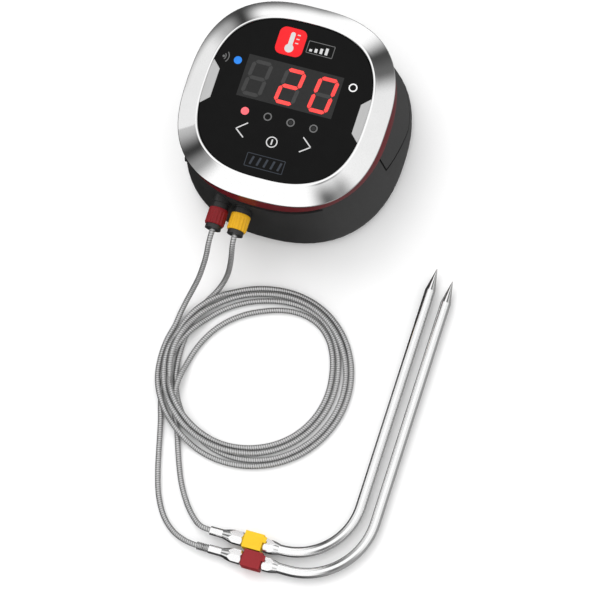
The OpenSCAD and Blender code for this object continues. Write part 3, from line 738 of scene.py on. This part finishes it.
def mark_waves():
    """Two plain arcs and a dot for the radio link."""
    line = 0.32
    waves = [(arc(*WAVES_AT, r, -45, 45, 6) + arc(*WAVES_AT, r - line, 45, -45, 6),)
             for r in (1.5, 2.5)]
    x, y = WAVES_AT
    marks("link_waves", "mid", waves + [(circle(x + 0.6, y, 0.4, 16),)])


def mark_plates():
    """Generic figures where the photo has a badge and two name plates."""
    marks("badge", "badge", [(box_loop(*BADGE_AT, 9.0, 9.3, 2.2),)])
    x, y = BADGE_AT
    ticks = [stroke(x + 1.4, y + rise, x + 2.4, y + rise, 0.35) for rise in (2.7, 1.3, -0.1)]
    marks("badge_figure", "pale", [(bulb_loop(x, y - 2.2, 1.45, 0.75, y + 3.3),)] + ticks, 1)
    x, y = PLATE_AT
    marks("plate_edge", "mid", [frame_box(x, y, 8.8, 4.2, 0.3, 0.22)])
    left, foot = x - 3.0, y - 1.4
    marks("plate_bars", "pale", [
        stroke(left + 1.7 * k, foot, left + 1.7 * k, foot + 0.8 + 0.5 * k, 0.9)
        for k in range(4)])
    x, y = LOWER_PLATE_AT
    bars = [stroke(x - 4.6 + 2.3 * k, y - 1.4, x - 4.0 + 2.3 * k, y + 1.4, 0.7)
            for k in range(5)]
    marks("lower_plate", "dim", [frame_box(x, y, 12.7, 4.6, 0.3, 0.25)] + bars)


# ---------------------------------------------------------------- plugs

COLLAR_Y, COLLAR_LEN = -35.75, 5.4
COLLAR_R, COLLAR_BORE = 3.15, 2.42
FLUTES, FLUTE_DEPTH = 16, 0.26
FLUTE_START = (0.9, 1.3)        # how far along the collar the flutes begin and are full


def build_collar(tint):
    """Knurled collar: flutes between a plain band at its jack and its front edge."""
    lip, front = COLLAR_R - 0.1, COLLAR_R - 0.2
    profile = rounded([
        (COLLAR_BORE, 0), (lip, 0), (COLLAR_R, 0.15), (COLLAR_R, 0.95), (COLLAR_R, 1.1),
        (COLLAR_R, COLLAR_LEN - 0.35), (lip, COLLAR_LEN - 0.3), (front, COLLAR_LEN),
        (COLLAR_BORE, COLLAR_LEN)], 0.08)
    a = np.linspace(0, FULL, 12 * FLUTES, endpoint=False)
    crest = (0.5 - 0.5 * np.cos(FLUTES * a)) ** 0.7
    rows = []
    for r, d in profile:
        fade = ease(d, *FLUTE_START) * (1 - ease(d, COLLAR_LEN - 0.1, COLLAR_LEN))
        outside = r > (COLLAR_BORE + COLLAR_R) / 2
        depth = FLUTE_DEPTH * fade if outside else 0
        radius = r - depth * (1 - crest)
        rows.append(np.stack([PORT_X[tint] + radius * np.sin(a), np.full(len(a), COLLAR_Y - d),
                              PORT_Z + radius * np.cos(a)], 1))
    verts, faces = loft(rows, closed=True)
    add_piece("collar_ring_" + tint, verts, faces, MATS[tint + "_plastic"], tint + "_collar",
              replaces=("collar_" + tint,))


# ---------------------------------------------------------------- probe handles

HEX_CORNER = 2.376
HANDLE_PROFILE = [              # radius, distance from the ferrule
    (1.42, 0), (2.6, 4.4), (2.6, 6.1), (1.7, 7.1), (1.7, 13.3), (2.6, 14.2), (2.6, 14.9),
    (1.72, HANDLE_LEN),
]
HANDLE_FILLET = 0.8
HANDLE_AROUND, HANDLE_ALONG = 96, 160
HANDLE_SHARP = 14               # degrees; the crimped facets' edges stay sharp
SPRING_TURNS, SPRING_PITCH, SPRING_X = 7, 0.58, 10.0
SPRING_R, WIRE_R = LEAD_R + 0.18, 0.21


def build_handle(tint):
    """Six-sided crimped grip: facets that run out into round necks."""
    start, y = FERRULE_AT[tint]
    stations = rounded(HANDLE_PROFILE, HANDLE_FILLET, closed=False)
    runs = np.array([station[1] for station in stations])
    radii = np.array([station[0] for station in stations])
    a = np.linspace(0, FULL, HANDLE_AROUND, endpoint=False)
    sixth = math.pi / 3
    hexagon = HEX_CORNER * math.cos(sixth / 2) / np.cos((a + sixth / 2) % sixth - sixth / 2)
    rows = []
    for d in np.linspace(0, HANDLE_LEN, HANDLE_ALONG):
        r = np.minimum(hexagon, np.interp(d, runs, radii))
        rows.append(np.stack([np.full(len(a), start + FERRULE_LEN + d), y + r * np.cos(a),
                              PROBE_Z + r * np.sin(a)], 1))
    verts, faces = loft(rows)
    grip = add_piece("grip_" + tint, verts, faces, MATS["probe_steel"], "leads",
                     replaces=("handle_" + tint,))
    grip.data.set_sharp_from_angle(angle=math.radians(HANDLE_SHARP))
    return grip


def build_spring():
    """Close wire spring that keeps the red lead from kinking at its ferrule."""
    y = FERRULE_AT["red"][1]
    t = np.linspace(0, FULL * SPRING_TURNS, 24 * SPRING_TURNS + 1)
    line = np.stack([SPRING_X + SPRING_PITCH * t / FULL, y + SPRING_R * np.cos(t),
                     PROBE_Z + SPRING_R * np.sin(t)], 1)
    along = np.gradient(line, axis=0)
    along /= np.linalg.norm(along, axis=1)[:, None]
    out = np.stack([np.zeros(len(t)), np.cos(t), np.sin(t)], 1)
    side = np.cross(along, out)
    k = np.linspace(0, FULL, 10, endpoint=False)
    rows = (line[:, None, :] + WIRE_R * (np.cos(k)[None, :, None] * out[:, None, :]
                                         + np.sin(k)[None, :, None] * side[:, None, :]))
    verts, faces = loft(list(rows))
    return add_piece("kink_guard", verts, faces, MATS["plug_steel"], "leads",
                     replaces=("kink_spring",))


# ---------------------------------------------------------------- CAD nodes that stay

KEPT = {
    "rubber": "foot_pad head_seal",
    "black_shell": "bottom_plate base_shell upper_shell battery_cover",
    "inner_plastic": "battery_tray buzzer",
    "screw_steel": "base_screws cover_screws head_screws hinge_pin battery_springs "
                   "battery_contacts",
    "magnet": "base_magnets",
    "circuit_board": "probe_board display_board",
    "shield": "radio_module",
    "flex": "flex_cable touch_film",
    "cell": "battery_one battery_two",
    "display_black": "led_display",
    "led": "status_leds",
    "diffuser": "light_guide",
    "plug_black": "jack_red jack_yellow jack_three jack_four plug_body_red plug_body_yellow "
                  "plug_cap_red plug_cap_yellow",
    "plug_steel": "plug_pin_red plug_pin_yellow",
    "probe_steel": "ferrule_red ferrule_yellow shaft_red shaft_yellow tip_red tip_yellow",
    "sensor_bead": "sensor_red sensor_yellow",
    "red_plastic": "clip_red",
    "yellow_plastic": "clip_yellow",
}

SMOOTHED = ("base_shell upper_shell battery_cover shaft_red shaft_yellow tip_red tip_yellow "
            "ferrule_red ferrule_yellow plug_body_red plug_body_yellow plug_cap_red "
            "plug_cap_yellow")
SMOOTH_BELOW = 24               # degrees between two faces
WELD = 0.001


def colour_kept_nodes():
    for material, names in KEPT.items():
        for node in names.split():
            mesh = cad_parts[node].data
            mesh.materials.clear()
            mesh.materials.append(MATS[material])


def smoothing_group():
    """Welds the faces together and shades every edge below the angle smoothly."""
    group = bpy.data.node_groups.new("smooth_by_angle", "GeometryNodeTree")
    group.is_modifier = True
    group.interface.new_socket("Geometry", in_out="INPUT", socket_type="NodeSocketGeometry")
    group.interface.new_socket("Geometry", in_out="OUTPUT", socket_type="NodeSocketGeometry")
    nodes, links = group.nodes, group.links
    start, end = nodes.new("NodeGroupInput"), nodes.new("NodeGroupOutput")
    plain = nodes.new("GeometryNodeRemoveAttribute")
    plain.inputs["Name"].default_value = "custom_normal"
    weld = nodes.new("GeometryNodeMergeByDistance")
    weld.inputs["Distance"].default_value = WELD * MM
    faces = nodes.new("GeometryNodeSetShadeSmooth")
    faces.domain = "FACE"
    edges = nodes.new("GeometryNodeSetShadeSmooth")
    edges.domain = "EDGE"
    angle = nodes.new("GeometryNodeInputMeshEdgeAngle")
    soft = nodes.new("FunctionNodeCompare")
    soft.operation = "LESS_THAN"
    soft.inputs["B"].default_value = math.radians(SMOOTH_BELOW)
    links.new(angle.outputs["Unsigned Angle"], soft.inputs["A"])
    links.new(soft.outputs["Result"], edges.inputs["Shade Smooth"])
    chain = (start, plain, weld, faces, edges, end)
    for node, following in zip(chain, chain[1:]):
        links.new(node.outputs[0], following.inputs[0])
    return group


def smooth_kept_nodes():
    group = smoothing_group()
    for node in SMOOTHED.split():
        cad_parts[node].modifiers.new("smoothing", "NODES").node_group = group


# ---------------------------------------------------------------- studio

FLOOR_HALF = 3.0                # metres
PLAIN_LIGHT, MIRRORED_LIGHT = 1.18, 1.15
WALLS = [                       # degrees round the object from +X, brightness
    (-180, 0.5), (-162, 0.04), (-148, 0.3), (-130, 1), (-80, 1), (-55, 0.12), (-35, 0.3),
    (-10, 0.85), (35, 0.8), (52, 0.12), (66, 0.06), (84, 1), (118, 1), (131, 0.04),
    (142, 0.4), (155, 0.8), (172, 0.8),
]
BELOW = [
    (-180, 0.015), (-135, 0.02), (-100, 0.05), (-50, 0.3), (15, 0.3), (60, 0.25), (100, 0.12),
    (140, 0.04), (180, 0.015),
]
WALL_FOOT, WALL_TOP = (0.16, 0.27), (0.8, 0.9)      # heights of a unit direction
# metres and watts
KEY_LIGHT = {"place": (-0.5, 0.5, 1.1), "aim": (0.02, -0.05, 0), "size": 0.9, "power": 4.5}


def build_floor():
    mesh = bpy.data.meshes.new("floor")
    corners = [(-1, -1), (1, -1), (1, 1), (-1, 1)]
    mesh.from_pydata([(x * FLOOR_HALF, y * FLOOR_HALF, 0) for x, y in corners], [],
                     [(0, 1, 2, 3)])
    floor = bpy.data.objects.new("floor", mesh)
    bpy.context.scene.collection.objects.link(floor)
    mesh.materials.append(finish("paper_floor", grey(0.9), grey(0.93), (0.8, 0.9), spec=0.1,
                                 grain=30, bump=0))
    floor.visible_glossy = False


def around(tree, share, stops):
    """Brightness that changes round the object; the share of a full turn starts at -X."""
    ramp = tree.nodes.new("ShaderNodeValToRGB")
    ramp.color_ramp.interpolation = "EASE"
    elements = ramp.color_ramp.elements
    while len(elements) < len(stops):
        elements.new(0.5)
    for element, (degrees, value) in zip(elements, stops):
        element.position = (degrees + 180) / 360
        element.color = (*grey(value), 1)
    tree.links.new(share, ramp.inputs["Fac"])
    return ramp.outputs["Color"]


def background(tree, colour, strength):
    light = tree.nodes.new("ShaderNodeBackground")
    light.inputs["Strength"].default_value = strength
    if isinstance(colour, bpy.types.NodeSocket):
        tree.links.new(colour, light.inputs["Color"])
    else:
        light.inputs["Color"].default_value = colour
    return light.outputs[0]


def build_world():
    """Even white light, and a studio with darker walls that only reflections see."""
    world = bpy.data.worlds.new("studio")
    bpy.context.scene.world = world
    world.use_nodes = True
    tree = world.node_tree
    place = tree.nodes.new("ShaderNodeTexCoord")
    split = tree.nodes.new("ShaderNodeSeparateXYZ")
    tree.links.new(place.outputs["Generated"], split.inputs[0])
    turn = tree.nodes.new("ShaderNodeMath")
    turn.operation = "ARCTAN2"
    tree.links.new(split.outputs["Y"], turn.inputs[0])
    tree.links.new(split.outputs["X"], turn.inputs[1])
    share = mapped(tree, turn.outputs[0], 0, 1, -math.pi, math.pi)
    foot = mapped(tree, split.outputs["Z"], 0, 1, *WALL_FOOT, kind="SMOOTHSTEP")
    top = mapped(tree, split.outputs["Z"], 0, 1, *WALL_TOP, kind="SMOOTHSTEP")
    room = mixed(tree, foot, around(tree, share, BELOW), around(tree, share, WALLS))
    room = mixed(tree, top, room, (*grey(1), 1))
    path = tree.nodes.new("ShaderNodeLightPath")
    choose = tree.nodes.new("ShaderNodeMixShader")
    tree.links.new(path.outputs["Is Glossy Ray"], choose.inputs["Fac"])
    tree.links.new(background(tree, (*grey(1), 1), PLAIN_LIGHT), choose.inputs[1])
    tree.links.new(background(tree, room, MIRRORED_LIGHT), choose.inputs[2])
    tree.links.new(choose.outputs[0], tree.nodes["World Output"].inputs["Surface"])


def build_light(place, aim, size, power):
    data = bpy.data.lights.new("key", "AREA")
    data.shape, data.size, data.energy = "DISK", size, power
    light = bpy.data.objects.new("key", data)
    light.location = place
    light.rotation_euler = (Vector(aim) - Vector(place)).to_track_quat("-Z", "Y").to_euler()
    light.visible_glossy = False
    bpy.context.scene.collection.objects.link(light)


def plain_view():
    view = bpy.context.scene.view_settings
    view.view_transform = "Standard"
    view.look = "None"


# ---------------------------------------------------------------- all of it

place_camera()
build_ring("bezel", BEZEL_PROFILE, BEZEL_FILLET, "chrome_bezel", "bezel_ring")
build_tabs()
build_panel()
build_ring("accent_band", ACCENT_PROFILE, ACCENT_FILLET, "accent_red", "accent_ring")
mark_display()
mark_indicators()
mark_keys()
mark_waves()
mark_plates()
build_collar("red")
build_collar("yellow")
build_leads()
colour_kept_nodes()
smooth_kept_nodes()
build_floor()
build_world()
build_light(**KEY_LIGHT)
plain_view()
